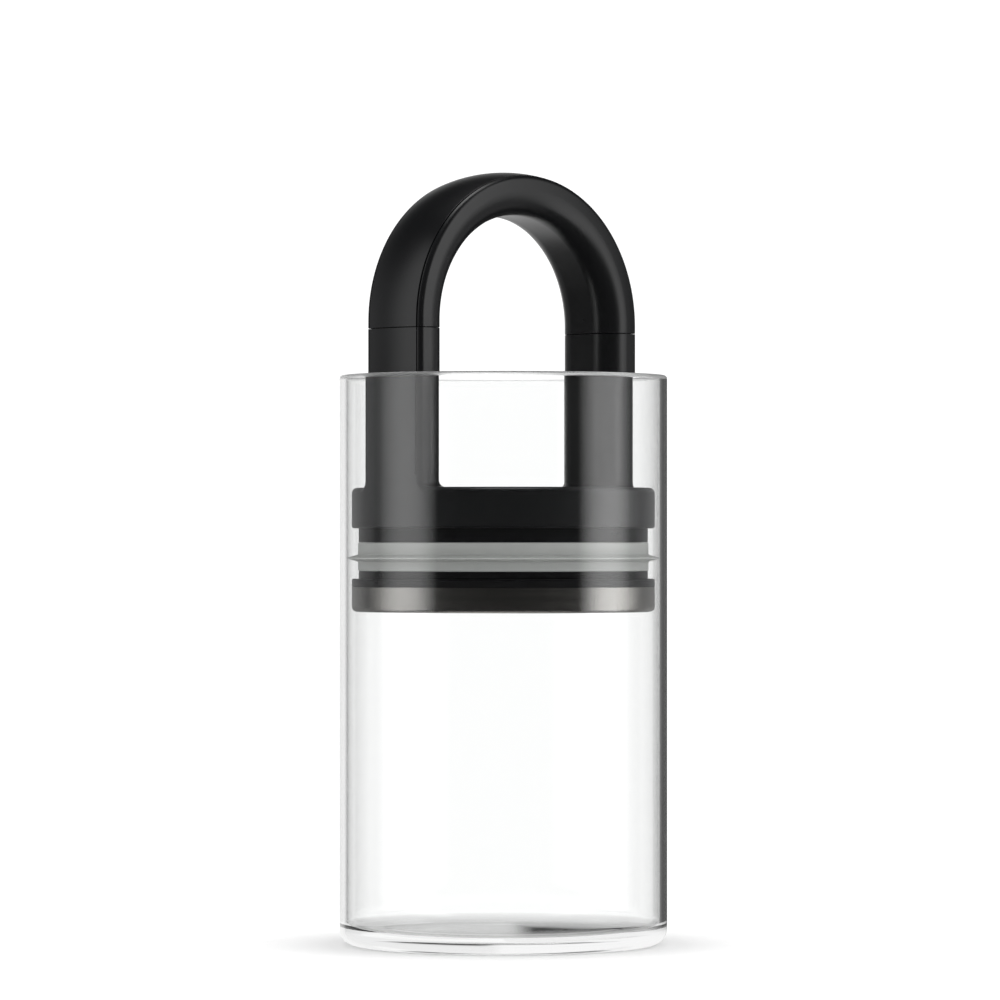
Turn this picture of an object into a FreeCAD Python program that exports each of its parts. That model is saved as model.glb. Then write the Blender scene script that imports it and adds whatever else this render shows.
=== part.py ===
import FreeCAD, Part
import math
import os

from FreeCAD import Vector

# A vacuum canister in millimetres: a glass jar and the piston lid that is pushed down inside it.
# +Z is up, the origin is the middle of the jar's foot, and the handle's two legs stand on the X axis.
# Lifting the handle's bow a little pulls two rods and a yoke, which lift the air valve off its seat.

# Glass jar
jar_diameter = 104.0
jar_height = 180.5
jar_wall = 2.2
jar_floor = 4.0
jar_corner_radius = 5.0
jar_inner_corner_radius = 3.5
foot_ring_width = 9.0
foot_recess_depth = 0.8
foot_recess_run = 2.5
rim_round_share = 0.48

# Place of the lid in the jar at rest, and its running gaps
lid_depth = 35.7
lid_gap = 1.7
lip_gap = 0.12

# Lid cover: flange, deck and the handle's two hollow legs
flange_height = 12.8
flange_wall = 2.4
flange_bottom_radius = 0.8
deck_thickness = 2.5
crown_edge_radius = 1.75
leg_height = 49.6
leg_root_radius = 2.2
boss_radius = 4.0
spring_ring_height = 2.0
spring_ring_wall = 1.5

# Cross-section that the handle's legs and bow share
handle_width = 25.5
handle_thickness = 13.8
handle_wall = 2.2
grip_corner_radius = 7.7
corner_room_share = 0.95
socket_edge_radius = 0.6
seam_width = 0.4
seam_depth = 0.5
strip_thickness = 2.2

# Bow, its guide feet and the lift rods
split_gap = 0.4
bow_straight = 2.0
foot_clearance = 0.3
bond_gap = 0.05
foot_drop = 18.0
foot_base = 8.0
foot_pocket_wall = 2.0
foot_plug_degrees = 9.0
rod_diameter = 3.0
rod_setback = 2.6
rod_grip_length = 7.0
rod_nut_height = 1.8
rod_nut_flats = 5.5
rod_nut_lift = 0.6

# Piston core
upper_neck_height = 4.4
seal_height = 9.2
lower_neck_height = 2.4
lower_ring_height = 2.4
ring_edge_radius = 0.5
neck_inset = 2.2
groove_depth = 2.3
core_wall = 2.1
core_floor = 2.6
core_skirt_wall = 3.0
spigot_height = 4.5
spigot_wall = 2.2
nest_clearance = 0.1
notch_clearance = 0.6
column_sink = 1.0
column_rise = 2.0
column_cap = 3.0

# Screws between core and cover
screw_diameter = 3.0
screw_length = 10.0
screw_head_diameter = 5.4
screw_head_height = 2.0
screw_recess_depth = 1.0
screw_recess_diameter = 2.4
screw_clearance = 0.1
screw_head_clearance = 0.3
screw_count = 4

# Wiper seal
seal_clearance = 0.05
seal_crown = 0.2
seal_edge_radius = 0.5
fin_root_height = 2.2
fin_tip_height = 0.36
fin_root_radius = 0.5
fin_height_share = 0.445

# Steel pan, its gasket and the vent fitting that clamps them to the core
pan_height = 8.0
pan_sheet = 0.8
pan_edge_radius = 1.6
pan_emboss_height = 2.0
pan_emboss_run = 2.0
emboss_clearance = 0.6
gasket_thickness = 1.0
gasket_clearance = 0.5
vent_flange_radius = 13.0
vent_flange_recess = 0.3
vent_tube_radius = 8.8
vent_tube_wall = 2.5
vent_slot_width = 1.3
vent_slot_pitch = 2.4
vent_slot_count = 5
vent_nut_height = 3.0
vent_nut_flats = 22.0
thread_clearance = 0.05
seat_height = 4.2
seat_land = 1.0
seat_chamfer = 0.8

# Valve
seat_gap = 0.1
disc_radius = 8.3
disc_thickness = 2.0
disc_bevel = 0.8
stem_diameter = 4.6
stem_neck_diameter = 3.0
stem_plate_radius = 6.8
stem_plate_thickness = 1.2
barb_diameter = 4.4
barb_height = 1.6
stem_tail = 2.0
clip_radius = 4.4
clip_thickness = 0.8
clip_gap = 0.2
clip_groove_depth = 0.5
clip_clearance = 0.05

# Yoke and springs
yoke_thickness = 3.4
yoke_arm_width = 6.0
yoke_bend_radius = 2.0
yoke_hub_radius = 10.0
yoke_eye_run = 9.4
stem_clearance = 0.3
return_spring_radius = 7.0
return_spring_wire = 1.0
return_spring_turns = 5
valve_spring_length = 7.0
valve_spring_radius = 4.2
valve_spring_wire = 0.5
valve_spring_turns = 5
spring_end_gap = 0.1
spring_coil_gap = 0.45
quarters_per_turn = 4

# One overrun serves all cuts, and one tolerance all tests of place
overrun = 1.0
same_place = 0.01

# Radii that follow from the sizes above
jar_radius = jar_diameter / 2
bore_radius = jar_radius - jar_wall
lid_radius = bore_radius - lid_gap
flange_bore_radius = lid_radius - flange_wall
neck_radius = lid_radius - neck_inset
groove_radius = neck_radius - groove_depth
cavity_radius = groove_radius - core_wall
spigot_radius = flange_bore_radius - nest_clearance
plug_radius = lid_radius - pan_sheet - nest_clearance
column_circle_radius = cavity_radius - boss_radius + column_sink
emboss_radius = vent_flange_radius + emboss_clearance
rod_radius = rod_diameter / 2
stem_radius = stem_diameter / 2
yoke_eye_radius = yoke_arm_width / 2
grip_side = lid_radius - handle_thickness
rod_reach = grip_side + handle_wall + foot_clearance + rod_setback

# Heights that follow from the sizes above
deck_z = jar_height - lid_depth
deck_underside_z = deck_z - deck_thickness
flange_z = deck_z - flange_height
seal_top_z = flange_z - upper_neck_height
seal_bottom_z = seal_top_z - seal_height
ring_top_z = seal_bottom_z - lower_neck_height
pan_top_z = ring_top_z - lower_ring_height
lid_bottom_z = pan_top_z - pan_height
pan_plate_z = lid_bottom_z + pan_sheet
emboss_z = lid_bottom_z + pan_emboss_height
gasket_z = emboss_z + pan_sheet
core_floor_z = gasket_z + gasket_thickness
core_floor_top_z = core_floor_z + core_floor
seat_z = core_floor_top_z + seat_height
disc_z = seat_z + seat_gap
stem_plate_z = disc_z + disc_thickness
stem_plate_top_z = stem_plate_z + stem_plate_thickness
hub_z = stem_plate_top_z + valve_spring_length
hub_top_z = hub_z + yoke_thickness
clip_z = hub_top_z + clip_gap
stem_top_z = clip_z + clip_thickness + stem_tail
rod_nut_z = flange_z + rod_nut_lift
eye_z = rod_nut_z + rod_nut_height
eye_top_z = eye_z + yoke_thickness
column_top_z = flange_z + column_rise
screw_seat_z = column_top_z - column_cap
split_z = deck_z + leg_height
bow_z = split_z + split_gap
arch_z = bow_z + bow_straight
foot_bottom_z = split_z - foot_drop

ORIGIN = Vector(0, 0, 0)
UP = Vector(0, 0, 1)
FULL_TURN = 360.0
HALF_TURN = 180.0


def rounded_face(corners):
    """Face in the XZ plane through corners (across, up, radius), each rounded by its own radius."""
    points = [Vector(across, 0, up) for across, up, radius in corners]
    starts = []
    bends = []
    for index, point in enumerate(points):
        radius = corners[index][2]
        back = (points[index - 1] - point).normalize()
        ahead = (points[(index + 1) % len(points)] - point).normalize()
        half_angle = back.getAngle(ahead) / 2
        setback = radius / math.tan(half_angle)
        middle = (back + ahead).normalize() * (radius / math.sin(half_angle) - radius)
        starts.append(point + back * setback)
        bends.append((point + middle, point + ahead * setback, radius))
    edges = []
    for index, start in enumerate(starts):
        middle, end, radius = bends[index]
        if radius > 0:
            edges.append(Part.Arc(start, middle, end).toShape())
        following = starts[(index + 1) % len(starts)]
        if not end.isEqual(following, same_place):
            edges.append(Part.makeLine(end, following))
    return Part.Face(Part.Wire(edges))


def turned(corners):
    """Solid of revolution about the Z axis."""
    return rounded_face(corners).revolve(ORIGIN, UP, FULL_TURN)


def rod(radius, bottom, top, x=0, y=0):
    """Upright cylinder."""
    return Part.makeCylinder(radius, top - bottom, Vector(x, y, bottom))


def hexagon(flats, bottom, top, x=0, y=0):
    """Upright hexagonal prism, measured across its flats."""
    reach = flats / 2 / math.cos(math.radians(HALF_TURN / 6))
    turns = [math.radians(FULL_TURN * index / 6) for index in range(6)]
    points = [Vector(x + reach * math.cos(turn), y + reach * math.sin(turn), bottom) for turn in turns]
    return Part.Face(Part.makePolygon(points + points[:1])).extrude(UP * (top - bottom))


def block(x_low, x_high, half_width, bottom, top):
    """Box that lies evenly across the X axis."""
    corner = Vector(x_low, -half_width, bottom)
    return Part.makeBox(x_high - x_low, 2 * half_width, top - bottom, corner)


def opposite(shape):
    """The same shape on the other side of the Z axis."""
    return shape.rotated(ORIGIN, UP, HALF_TURN)


def column_places():
    """Places of the screw columns, between the legs."""
    for index in range(screw_count):
        turn = math.radians(FULL_TURN * (index + 0.5) / screw_count)
        yield column_circle_radius * math.cos(turn), column_circle_radius * math.sin(turn)


def edge_tangent(edge_radius, inset):
    """Centre of the rounding between the handle's outer face and its side, and where it meets each."""
    outer = lid_radius - inset
    half = handle_width / 2 - inset
    across = half - edge_radius
    centre = Vector(math.sqrt((outer - edge_radius) ** 2 - across ** 2), across, 0)
    on_face = centre * (outer / (outer - edge_radius))
    on_side = Vector(centre.x, half, 0)
    return centre, on_face, on_side


def mirrored(point):
    """The point on the other side of the XZ plane."""
    return Vector(point.x, -point.y, point.z)


def handle_section(inset, edge_radius):
    """Section of the +X leg at height 0: outer face on the lid's cylinder, rounded grip side inwards."""
    half = handle_width / 2 - inset
    inner = grip_side + inset
    centre, on_face, on_side = edge_tangent(edge_radius, inset)
    corner = min(grip_corner_radius - inset, (on_side.x - inner) * corner_room_share)
    corner_start = Vector(inner + corner, half, 0)
    corner_end = Vector(inner, half - corner, 0)
    corner_middle = Vector(inner + corner, half - corner, 0) + Vector(-1, 1, 0).normalize() * corner
    grip_corner = Part.Arc(corner_start, corner_middle, corner_end).toShape()
    upper = [Part.makeLine(on_side, corner_start), grip_corner]
    if edge_radius > 0:
        bisector = (on_face + on_side - centre - centre).normalize()
        upper.insert(0, Part.Arc(on_face, centre + bisector * edge_radius, on_side).toShape())
    lower = [edge.mirror(ORIGIN, Vector(0, 1, 0)) for edge in upper]
    face_arc = Part.Arc(mirrored(on_face), Vector(lid_radius - inset, 0, 0), on_face).toShape()
    grip_line = Part.makeLine(corner_end, mirrored(corner_end))
    edges = Part.sortEdges([face_arc, grip_line] + upper + lower)[0]
    return Part.Face(Part.Wire(edges))


def strip_section(half_width, outer):
    """Section of the band that closes the bow on its outer side, as high as the bow's outer face."""
    inner = lid_radius - strip_thickness
    top_end = Vector(math.sqrt(outer ** 2 - half_width ** 2), half_width, 0)
    low_end = Vector(math.sqrt(inner ** 2 - half_width ** 2), half_width, 0)
    edges = [
        Part.Arc(mirrored(top_end), Vector(outer, 0, 0), top_end).toShape(),
        Part.makeLine(top_end, low_end),
        Part.Arc(low_end, Vector(inner, 0, 0), mirrored(low_end)).toShape(),
        Part.makeLine(mirrored(low_end), mirrored(top_end)),
    ]
    return Part.Face(Part.Wire(edges))


def leg_column(inset, edge_radius, bottom, top):
    """Straight prism of the handle's section on the +X side."""
    face = handle_section(inset, edge_radius)
    face.translate(UP * bottom)
    return face.extrude(UP * (top - bottom))


def arched(face, degrees):
    """The section at height 0 run straight up from the bow's +X end, then swung over about the bow's axis."""
    straight = face.translated(UP * bow_z).extrude(UP * bow_straight)
    arc = face.translated(UP * arch_z).revolve(UP * arch_z, Vector(0, -1, 0), degrees)
    if degrees < HALF_TURN:
        return straight.fuse(arc).removeSplitter()
    return arc.fuse([straight, opposite(straight)]).removeSplitter()


def seam_edge():
    """Half-width of the outer face up to where its rounded edge begins."""
    return edge_tangent(crown_edge_radius, 0)[1]


def glass_jar():
    """Straight-walled jar with a fire-polished rim and a shallow recess under its foot."""
    rim_radius = jar_wall * rim_round_share
    recess_radius = jar_radius - jar_corner_radius - foot_ring_width
    return turned([
        (0, foot_recess_depth, 0),
        (recess_radius - foot_recess_run, foot_recess_depth, foot_recess_run),
        (recess_radius, 0, foot_recess_depth),
        (jar_radius, 0, jar_corner_radius),
        (jar_radius, jar_height, rim_radius),
        (bore_radius, jar_height, rim_radius),
        (bore_radius, jar_floor, jar_inner_corner_radius),
        (0, jar_floor, 0),
    ])


def on_lid_face(edge):
    """Whether an edge lies on the lid's outer cylinder all along."""
    radii = [math.hypot(point.x, point.y) for point in edge.discretize(5)]
    return min(radii) > lid_radius - same_place


def lid_crown():
    """Solid flange with its two legs, rounded where the legs spring and along the outer edge."""
    flange = rod(lid_radius, flange_z, deck_z)
    flange.rotate(ORIGIN, UP, HALF_TURN / 2)
    leg = leg_column(0, 0, flange_z, split_z)
    crown = flange.fuse([leg, opposite(leg)]).removeSplitter()
    at_deck = [edge for edge in crown.Edges if edge.BoundBox.ZMin > deck_z - same_place]
    at_deck = [edge for edge in at_deck if edge.BoundBox.ZMax < deck_z + same_place]
    roots = [edge for edge in at_deck if not on_lid_face(edge)]
    crown = crown.makeFillet(leg_root_radius, roots)
    upper = [edge for edge in crown.Edges if edge.BoundBox.ZMin > deck_z - same_place and on_lid_face(edge)]
    outline = [edge for edge in upper if edge.BoundBox.ZMin < split_z - same_place]
    crown = crown.makeFillet(crown_edge_radius, outline)
    at_foot = [edge for edge in crown.Edges if edge.BoundBox.ZMax < flange_z + same_place]
    return crown.makeFillet(flange_bottom_radius, at_foot)


def lid_cover():
    """Flange, deck and hollow legs in one moulding, with screw bosses and a spring ring under the deck."""
    crown = lid_crown()
    hollow = rod(flange_bore_radius, flange_z - overrun, deck_underside_z)
    socket = leg_column(handle_wall, socket_edge_radius, flange_z, split_z + overrun)
    cover = crown.cut([hollow, socket, opposite(socket)])
    ring_bore = return_spring_radius + return_spring_wire
    ring_z = deck_underside_z - spring_ring_height
    ring = rod(ring_bore + spring_ring_wall, ring_z, deck_underside_z)
    bosses = [rod(boss_radius, column_top_z, deck_underside_z, x, y) for x, y in column_places()]
    cover = cover.fuse([ring] + bosses)
    pilot_radius = screw_diameter / 2 + thread_clearance
    pilot_top = screw_seat_z + screw_length + thread_clearance
    cuts = [rod(pilot_radius, column_top_z - overrun, pilot_top, x, y) for x, y in column_places()]
    cuts.append(rod(ring_bore, ring_z - overrun, deck_underside_z))
    cuts.extend(leg_seams())
    return cover.cut(cuts).removeSplitter()


def leg_seams():
    """Fine grooves that carry the bow's seam on down both edges of each leg."""
    edge = seam_edge()
    bottom = deck_z + leg_root_radius + crown_edge_radius
    low = Vector(edge.x - seam_depth, edge.y - seam_width, bottom)
    groove = Part.makeBox(seam_depth + overrun, seam_width, split_z + overrun - bottom, low)
    pair = [groove, groove.mirror(ORIGIN, Vector(0, 1, 0))]
    return pair + [opposite(shape) for shape in pair]


def piston_core():
    """Cup that carries the seal groove, with a floor for the vent and columns for the cover's screws."""
    skirt_radius = plug_radius - core_skirt_wall
    spigot_top_z = flange_z + spigot_height
    core = turned([
        (vent_tube_radius + thread_clearance, core_floor_z, 0),
        (skirt_radius, core_floor_z, 0),
        (skirt_radius, pan_plate_z, 0),
        (plug_radius, pan_plate_z, pan_edge_radius),
        (plug_radius, pan_top_z, 0),
        (lid_radius, pan_top_z, 0),
        (lid_radius, ring_top_z, ring_edge_radius),
        (neck_radius, ring_top_z, 0),
        (neck_radius, seal_bottom_z, 0),
        (groove_radius, seal_bottom_z, 0),
        (groove_radius, seal_top_z, 0),
        (neck_radius, seal_top_z, 0),
        (neck_radius, flange_z, 0),
        (spigot_radius, flange_z, 0),
        (spigot_radius, spigot_top_z, 0),
        (spigot_radius - spigot_wall, spigot_top_z, 0),
        (spigot_radius - spigot_wall, flange_z, 0),
        (cavity_radius, flange_z, 0),
        (cavity_radius, core_floor_top_z, core_wall),
        (vent_tube_radius + thread_clearance, core_floor_top_z, 0),
    ])
    columns = [rod(boss_radius, core_floor_z, column_top_z, x, y) for x, y in column_places()]
    core = core.fuse(columns)
    notch_half = yoke_eye_radius + notch_clearance
    cuts = [block(-lid_radius, lid_radius, notch_half, flange_z, spigot_top_z + overrun)]
    for x, y in column_places():
        head_radius = screw_head_diameter / 2 + screw_head_clearance
        cuts.append(rod(head_radius, core_floor_z - overrun, screw_seat_z, x, y))
        cuts.append(rod(screw_diameter / 2 + screw_clearance, screw_seat_z, column_top_z + overrun, x, y))
    return core.cut(cuts).removeSplitter()


def cover_screws():
    """Four recessed pan-head screws driven up from below, as one group."""
    screws = []
    for x, y in column_places():
        head_z = screw_seat_z - screw_head_height
        head = rod(screw_head_diameter / 2, head_z, screw_seat_z, x, y)
        shank = rod(screw_diameter / 2, screw_seat_z, screw_seat_z + screw_length, x, y)
        recess = hexagon(screw_recess_diameter, head_z - overrun, head_z + screw_recess_depth, x, y)
        screws.append(head.fuse(shank).cut(recess).removeSplitter())
    return Part.makeCompound(screws)


def wiper_seal():
    """Silicone band in the core's groove with one thin fin that wipes the glass."""
    inner = groove_radius + seal_clearance
    low = seal_bottom_z + seal_clearance
    high = seal_top_z - seal_clearance
    outer = neck_radius + seal_crown
    tip = bore_radius - lip_gap
    fin_z = low + (high - low) * fin_height_share
    return turned([
        (inner, low, 0),
        (outer, low, seal_edge_radius),
        (outer, fin_z - fin_root_height / 2, fin_root_radius),
        (tip, fin_z - fin_tip_height / 2, 0),
        (tip, fin_z + fin_tip_height / 2, 0),
        (outer, fin_z + fin_root_height / 2, fin_root_radius),
        (outer, high, seal_edge_radius),
        (inner, high, 0),
    ])


def steel_pan():
    """Pressed pan over the core's lower end, raised in the middle so that the vent sits flush."""
    hole = vent_tube_radius + thread_clearance
    foot = emboss_radius + pan_emboss_run
    inner_edge_radius = pan_edge_radius - pan_sheet
    return turned([
        (hole, emboss_z, 0),
        (emboss_radius, emboss_z, pan_sheet),
        (foot, lid_bottom_z, pan_sheet),
        (lid_radius, lid_bottom_z, pan_edge_radius),
        (lid_radius, pan_top_z, 0),
        (lid_radius - pan_sheet, pan_top_z, 0),
        (lid_radius - pan_sheet, pan_plate_z, inner_edge_radius),
        (foot, pan_plate_z, pan_sheet),
        (emboss_radius, gasket_z, pan_sheet),
        (hole, gasket_z, 0),
    ])


def pan_gasket():
    """Flat ring between the pan's raised middle and the core."""
    bore = vent_tube_radius + gasket_clearance
    ring = rod(emboss_radius - gasket_clearance, gasket_z, core_floor_z)
    return ring.cut(rod(bore, gasket_z - overrun, core_floor_z + overrun))


def vent_fitting():
    """Slotted vent with a threaded tube up through pan and core, whose top is the valve's seat."""
    flange_low = lid_bottom_z + vent_flange_recess
    bore = vent_tube_radius - vent_tube_wall
    fitting = turned([
        (0, flange_low, 0),
        (vent_flange_radius, flange_low, vent_flange_recess),
        (vent_flange_radius, emboss_z, 0),
        (vent_tube_radius, emboss_z, 0),
        (vent_tube_radius, seat_z - seat_chamfer, 0),
        (vent_tube_radius - seat_chamfer, seat_z, 0),
        (vent_tube_radius - seat_chamfer - seat_land, seat_z, 0),
        (bore, seat_z - seat_chamfer, 0),
        (bore, emboss_z, 0),
        (0, emboss_z, 0),
    ])
    slots = []
    for index in range(vent_slot_count):
        across = (index - (vent_slot_count - 1) / 2) * vent_slot_pitch
        half_length = math.sqrt((bore - vent_slot_width) ** 2 - across ** 2)
        slot = block(-half_length, half_length, vent_slot_width / 2, flange_low - overrun, emboss_z + overrun)
        slots.append(slot.translated(Vector(0, across, 0)))
    return fitting.cut(slots)


def vent_nut():
    """Hexagonal nut that clamps core, gasket and pan together."""
    top = core_floor_top_z + vent_nut_height
    bore = rod(vent_tube_radius + thread_clearance, core_floor_top_z - overrun, top + overrun)
    return hexagon(vent_nut_flats, core_floor_top_z, top).cut(bore)


def valve_disc():
    """Soft disc that closes the vent tube."""
    bore = stem_neck_diameter / 2 + clip_clearance
    top = disc_z + disc_thickness
    return turned([
        (bore, disc_z, 0),
        (disc_radius, disc_z, 0),
        (disc_radius, top - disc_bevel, 0),
        (disc_radius - disc_bevel, top, 0),
        (bore, top, 0),
    ])


def valve_stem():
    """Guide stem with a plate over the disc, a barb under it and a groove for the clip."""
    neck = stem_neck_diameter / 2
    barb = barb_diameter / 2
    barb_top_z = disc_z - clip_clearance
    groove_low = clip_z - clip_clearance
    groove_high = clip_z + clip_thickness + clip_clearance
    groove = stem_radius - clip_groove_depth
    return turned([
        (0, barb_top_z - barb_height, 0),
        (neck, barb_top_z - barb_height, 0),
        (barb, barb_top_z, 0),
        (neck, barb_top_z, 0),
        (neck, stem_plate_z, 0),
        (stem_plate_radius, stem_plate_z, 0),
        (stem_plate_radius, stem_plate_top_z, 0),
        (stem_radius, stem_plate_top_z, 0),
        (stem_radius, groove_low, 0),
        (groove, groove_low, 0),
        (groove, groove_high, 0),
        (stem_radius, groove_high, 0),
        (stem_radius, stem_top_z, clip_groove_depth),
        (0, stem_top_z, 0),
    ])


def stem_clip():
    """Open clip in the stem's groove, by which the yoke lifts the valve."""
    bore = stem_radius - clip_groove_depth + clip_clearance
    top = clip_z + clip_thickness
    ring = rod(clip_radius, clip_z, top)
    mouth = block(0, clip_radius + overrun, bore - clip_groove_depth, clip_z - overrun, top + overrun)
    return ring.cut([rod(bore, clip_z - overrun, top + overrun), mouth])


def release_yoke():
    """Cranked bar between the two rods, with a hub that the valve stem slides in."""
    arm_foot = yoke_hub_radius
    arm_head = rod_reach - yoke_eye_run
    bend = yoke_bend_radius
    outer_bend = yoke_bend_radius + yoke_thickness / 2
    right = [
        (arm_foot, hub_z, bend),
        (arm_head, eye_z, bend),
        (rod_reach, eye_z, 0),
        (rod_reach, eye_top_z, 0),
        (arm_head - yoke_thickness / 2, eye_top_z, outer_bend),
        (arm_foot - yoke_thickness / 2, hub_top_z, outer_bend),
    ]
    left = [(-across, up, radius) for across, up, radius in reversed(right)]
    bar = rounded_face(right + left).extrude(Vector(0, yoke_arm_width, 0))
    bar.translate(Vector(0, -yoke_arm_width / 2, 0))
    eyes = [rod(yoke_eye_radius, eye_z, eye_top_z, x) for x in (rod_reach, -rod_reach)]
    yoke = bar.fuse(eyes + [rod(yoke_hub_radius, hub_z, hub_top_z)])
    hole = rod_radius + thread_clearance
    cuts = [rod(hole, eye_z - overrun, eye_top_z + overrun, x) for x in (rod_reach, -rod_reach)]
    cuts.append(rod(stem_radius + stem_clearance, hub_z - overrun, hub_top_z + overrun))
    return yoke.cut(cuts).removeSplitter()


def lift_rod():
    """Steel rod from the guide foot down to the yoke, on the +X side."""
    return rod(rod_radius, rod_nut_z, foot_bottom_z + rod_grip_length, rod_reach)


def rod_nuts():
    """Nuts that hold the yoke up on the rods, as one group."""
    nuts = []
    for x in (rod_reach, -rod_reach):
        nut = hexagon(rod_nut_flats, rod_nut_z, eye_z, x)
        nuts.append(nut.cut(rod(rod_radius + thread_clearance, rod_nut_z - overrun, eye_z + overrun, x)))
    return Part.makeCompound(nuts)


def guide_foot():
    """Plug bonded into the bow's end that slides in the leg's socket and holds the rod, on the +X side."""
    slide_inset = handle_wall + foot_clearance
    slide = leg_column(slide_inset, socket_edge_radius, foot_bottom_z, bow_z)
    plug = arched(handle_section(handle_wall + bond_gap, socket_edge_radius), foot_plug_degrees)
    pocket_inset = slide_inset + foot_pocket_wall
    pocket_z = foot_bottom_z + foot_base
    pocket = leg_column(pocket_inset, socket_edge_radius, pocket_z, arch_z + handle_thickness)
    grip_top = foot_bottom_z + rod_grip_length + thread_clearance
    rod_hole = rod(rod_radius + thread_clearance, foot_bottom_z - overrun, grip_top, rod_reach)
    return slide.fuse(plug).cut([pocket, rod_hole]).removeSplitter()


def bow_outer_shell():
    """Band that closes the bow on its outer side, with a fine seam along both edges."""
    return arched(strip_section(seam_edge().y - seam_width, lid_radius), HALF_TURN)


def bow_inner_shell():
    """Hollow bow, open on its outer side, with the grip's rounded edges."""
    shell = handle_section(0, crown_edge_radius).cut(handle_section(handle_wall, socket_edge_radius))
    shell = shell.cut(strip_section(seam_edge().y, lid_radius + overrun))
    return arched(shell.Faces[0], HALF_TURN)


def coil_point(share, radius, low, rise, turns, end_pitch):
    """Point on a spring's centre line and its direction there; the pitch eases towards both ends."""
    swing = math.tau * share
    turn = turns * swing
    ease = 2 * (rise - end_pitch * turns)
    height = low + end_pitch * turns * share + ease * (share / 2 - math.sin(2 * swing) / (4 * math.tau))
    climb = end_pitch * turns + ease * (1 - math.cos(2 * swing)) / 2
    point = Vector(radius * math.cos(turn), radius * math.sin(turn), height)
    circling = Vector(-math.sin(turn), math.cos(turn), 0) * (radius * turns * math.tau)
    return point, (circling + UP * climb).normalize()


def tangent_arc(start, direction, end):
    """Arc from start, along direction, to end."""
    chord = end - start
    half_turn = chord.getAngle(direction)
    along = Vector(chord).normalize()
    aside = (direction - along * direction.dot(along)).normalize()
    sagitta = chord.Length / 2 * math.tan(half_turn / 2)
    return Part.Arc(start, start + chord * 0.5 + aside * sagitta, end).toShape()


def biarc(start, start_direction, end, end_direction):
    """Two tangent arcs that join two points of a coil, each along its own direction."""
    gap = end - start
    both = start_direction + end_direction
    spread = 2 * (1 - start_direction.dot(end_direction))
    along = gap.dot(both)
    reach = (math.sqrt(along ** 2 + spread * gap.dot(gap)) - along) / spread
    middle = (start + start_direction * reach + end - end_direction * reach) * 0.5
    second = tangent_arc(end, -end_direction, middle)
    return [tangent_arc(start, start_direction, middle), second]


def coil_spring(name, radius, wire, bottom, top, turns):
    """Compression spring as one unbroken tube; prints the least gap between its coils."""
    low = bottom + wire / 2 + spring_end_gap
    rise = top - bottom - wire - 2 * spring_end_gap
    end_pitch = wire + spring_coil_gap
    spans = turns * quarters_per_turn
    places = [coil_point(index / spans, radius, low, rise, turns, end_pitch) for index in range(spans + 1)]
    edges = []
    for here, there in zip(places, places[1:]):
        edges.extend(biarc(here[0], here[1], there[0], there[1]))
    path = Part.Wire(Part.sortEdges(edges)[0])
    profile = Part.Wire(Part.makeCircle(wire / 2, places[0][0], places[0][1]))
    heights = [point.z for point, direction in places]
    gaps = [upper - lower - wire for lower, upper in zip(heights, heights[quarters_per_turn:])]
    print(name, "least gap between coils", round(min(gaps), 2))
    return path.makePipeShell([profile], True, False)


def return_spring():
    """Spring from the deck down to the yoke's hub, which draws the bow back."""
    return coil_spring("return_spring", return_spring_radius, return_spring_wire,
                       hub_top_z, deck_underside_z, return_spring_turns)


def valve_spring():
    """Light spring from the yoke's hub down to the stem's plate, which presses the disc on its seat."""
    return coil_spring("valve_spring", valve_spring_radius, valve_spring_wire,
                       stem_plate_top_z, hub_z, valve_spring_turns)


def build():
    """Every piece of the canister by name."""
    foot = guide_foot()
    right_rod = lift_rod()
    return {
        "glass_jar": glass_jar(),
        "lid_cover": lid_cover(),
        "piston_core": piston_core(),
        "cover_screws": cover_screws(),
        "wiper_seal": wiper_seal(),
        "steel_pan": steel_pan(),
        "pan_gasket": pan_gasket(),
        "vent_fitting": vent_fitting(),
        "vent_nut": vent_nut(),
        "valve_disc": valve_disc(),
        "valve_stem": valve_stem(),
        "stem_clip": stem_clip(),
        "valve_spring": valve_spring(),
        "release_yoke": release_yoke(),
        "return_spring": return_spring(),
        "lift_rod_right": right_rod,
        "lift_rod_left": opposite(right_rod),
        "rod_nuts": rod_nuts(),
        "guide_foot_right": foot,
        "guide_foot_left": opposite(foot),
        "bow_inner_shell": bow_inner_shell(),
        "bow_outer_shell": bow_outer_shell(),
    }


os.makedirs("parts", exist_ok=True)
for node, shape in build().items():
    shape.exportStep("parts/" + node + ".step")
    print(node, shape.ShapeType, len(shape.Solids), shape.isValid(), round(shape.Volume, 1))
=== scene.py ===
"""A vacuum canister in a white studio: a glass jar, the piston lid inside it and its arched handle.

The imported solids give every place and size. The pieces that show most are modelled again with finer
edges, the rest keep their solids, and every surface gets a finish made of shader nodes. Metres, +Z up.
"""

import logging
import math
from dataclasses import dataclass
from enum import Enum
from typing import Callable, Sequence

import bmesh
import bpy
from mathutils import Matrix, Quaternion, Vector


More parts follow.
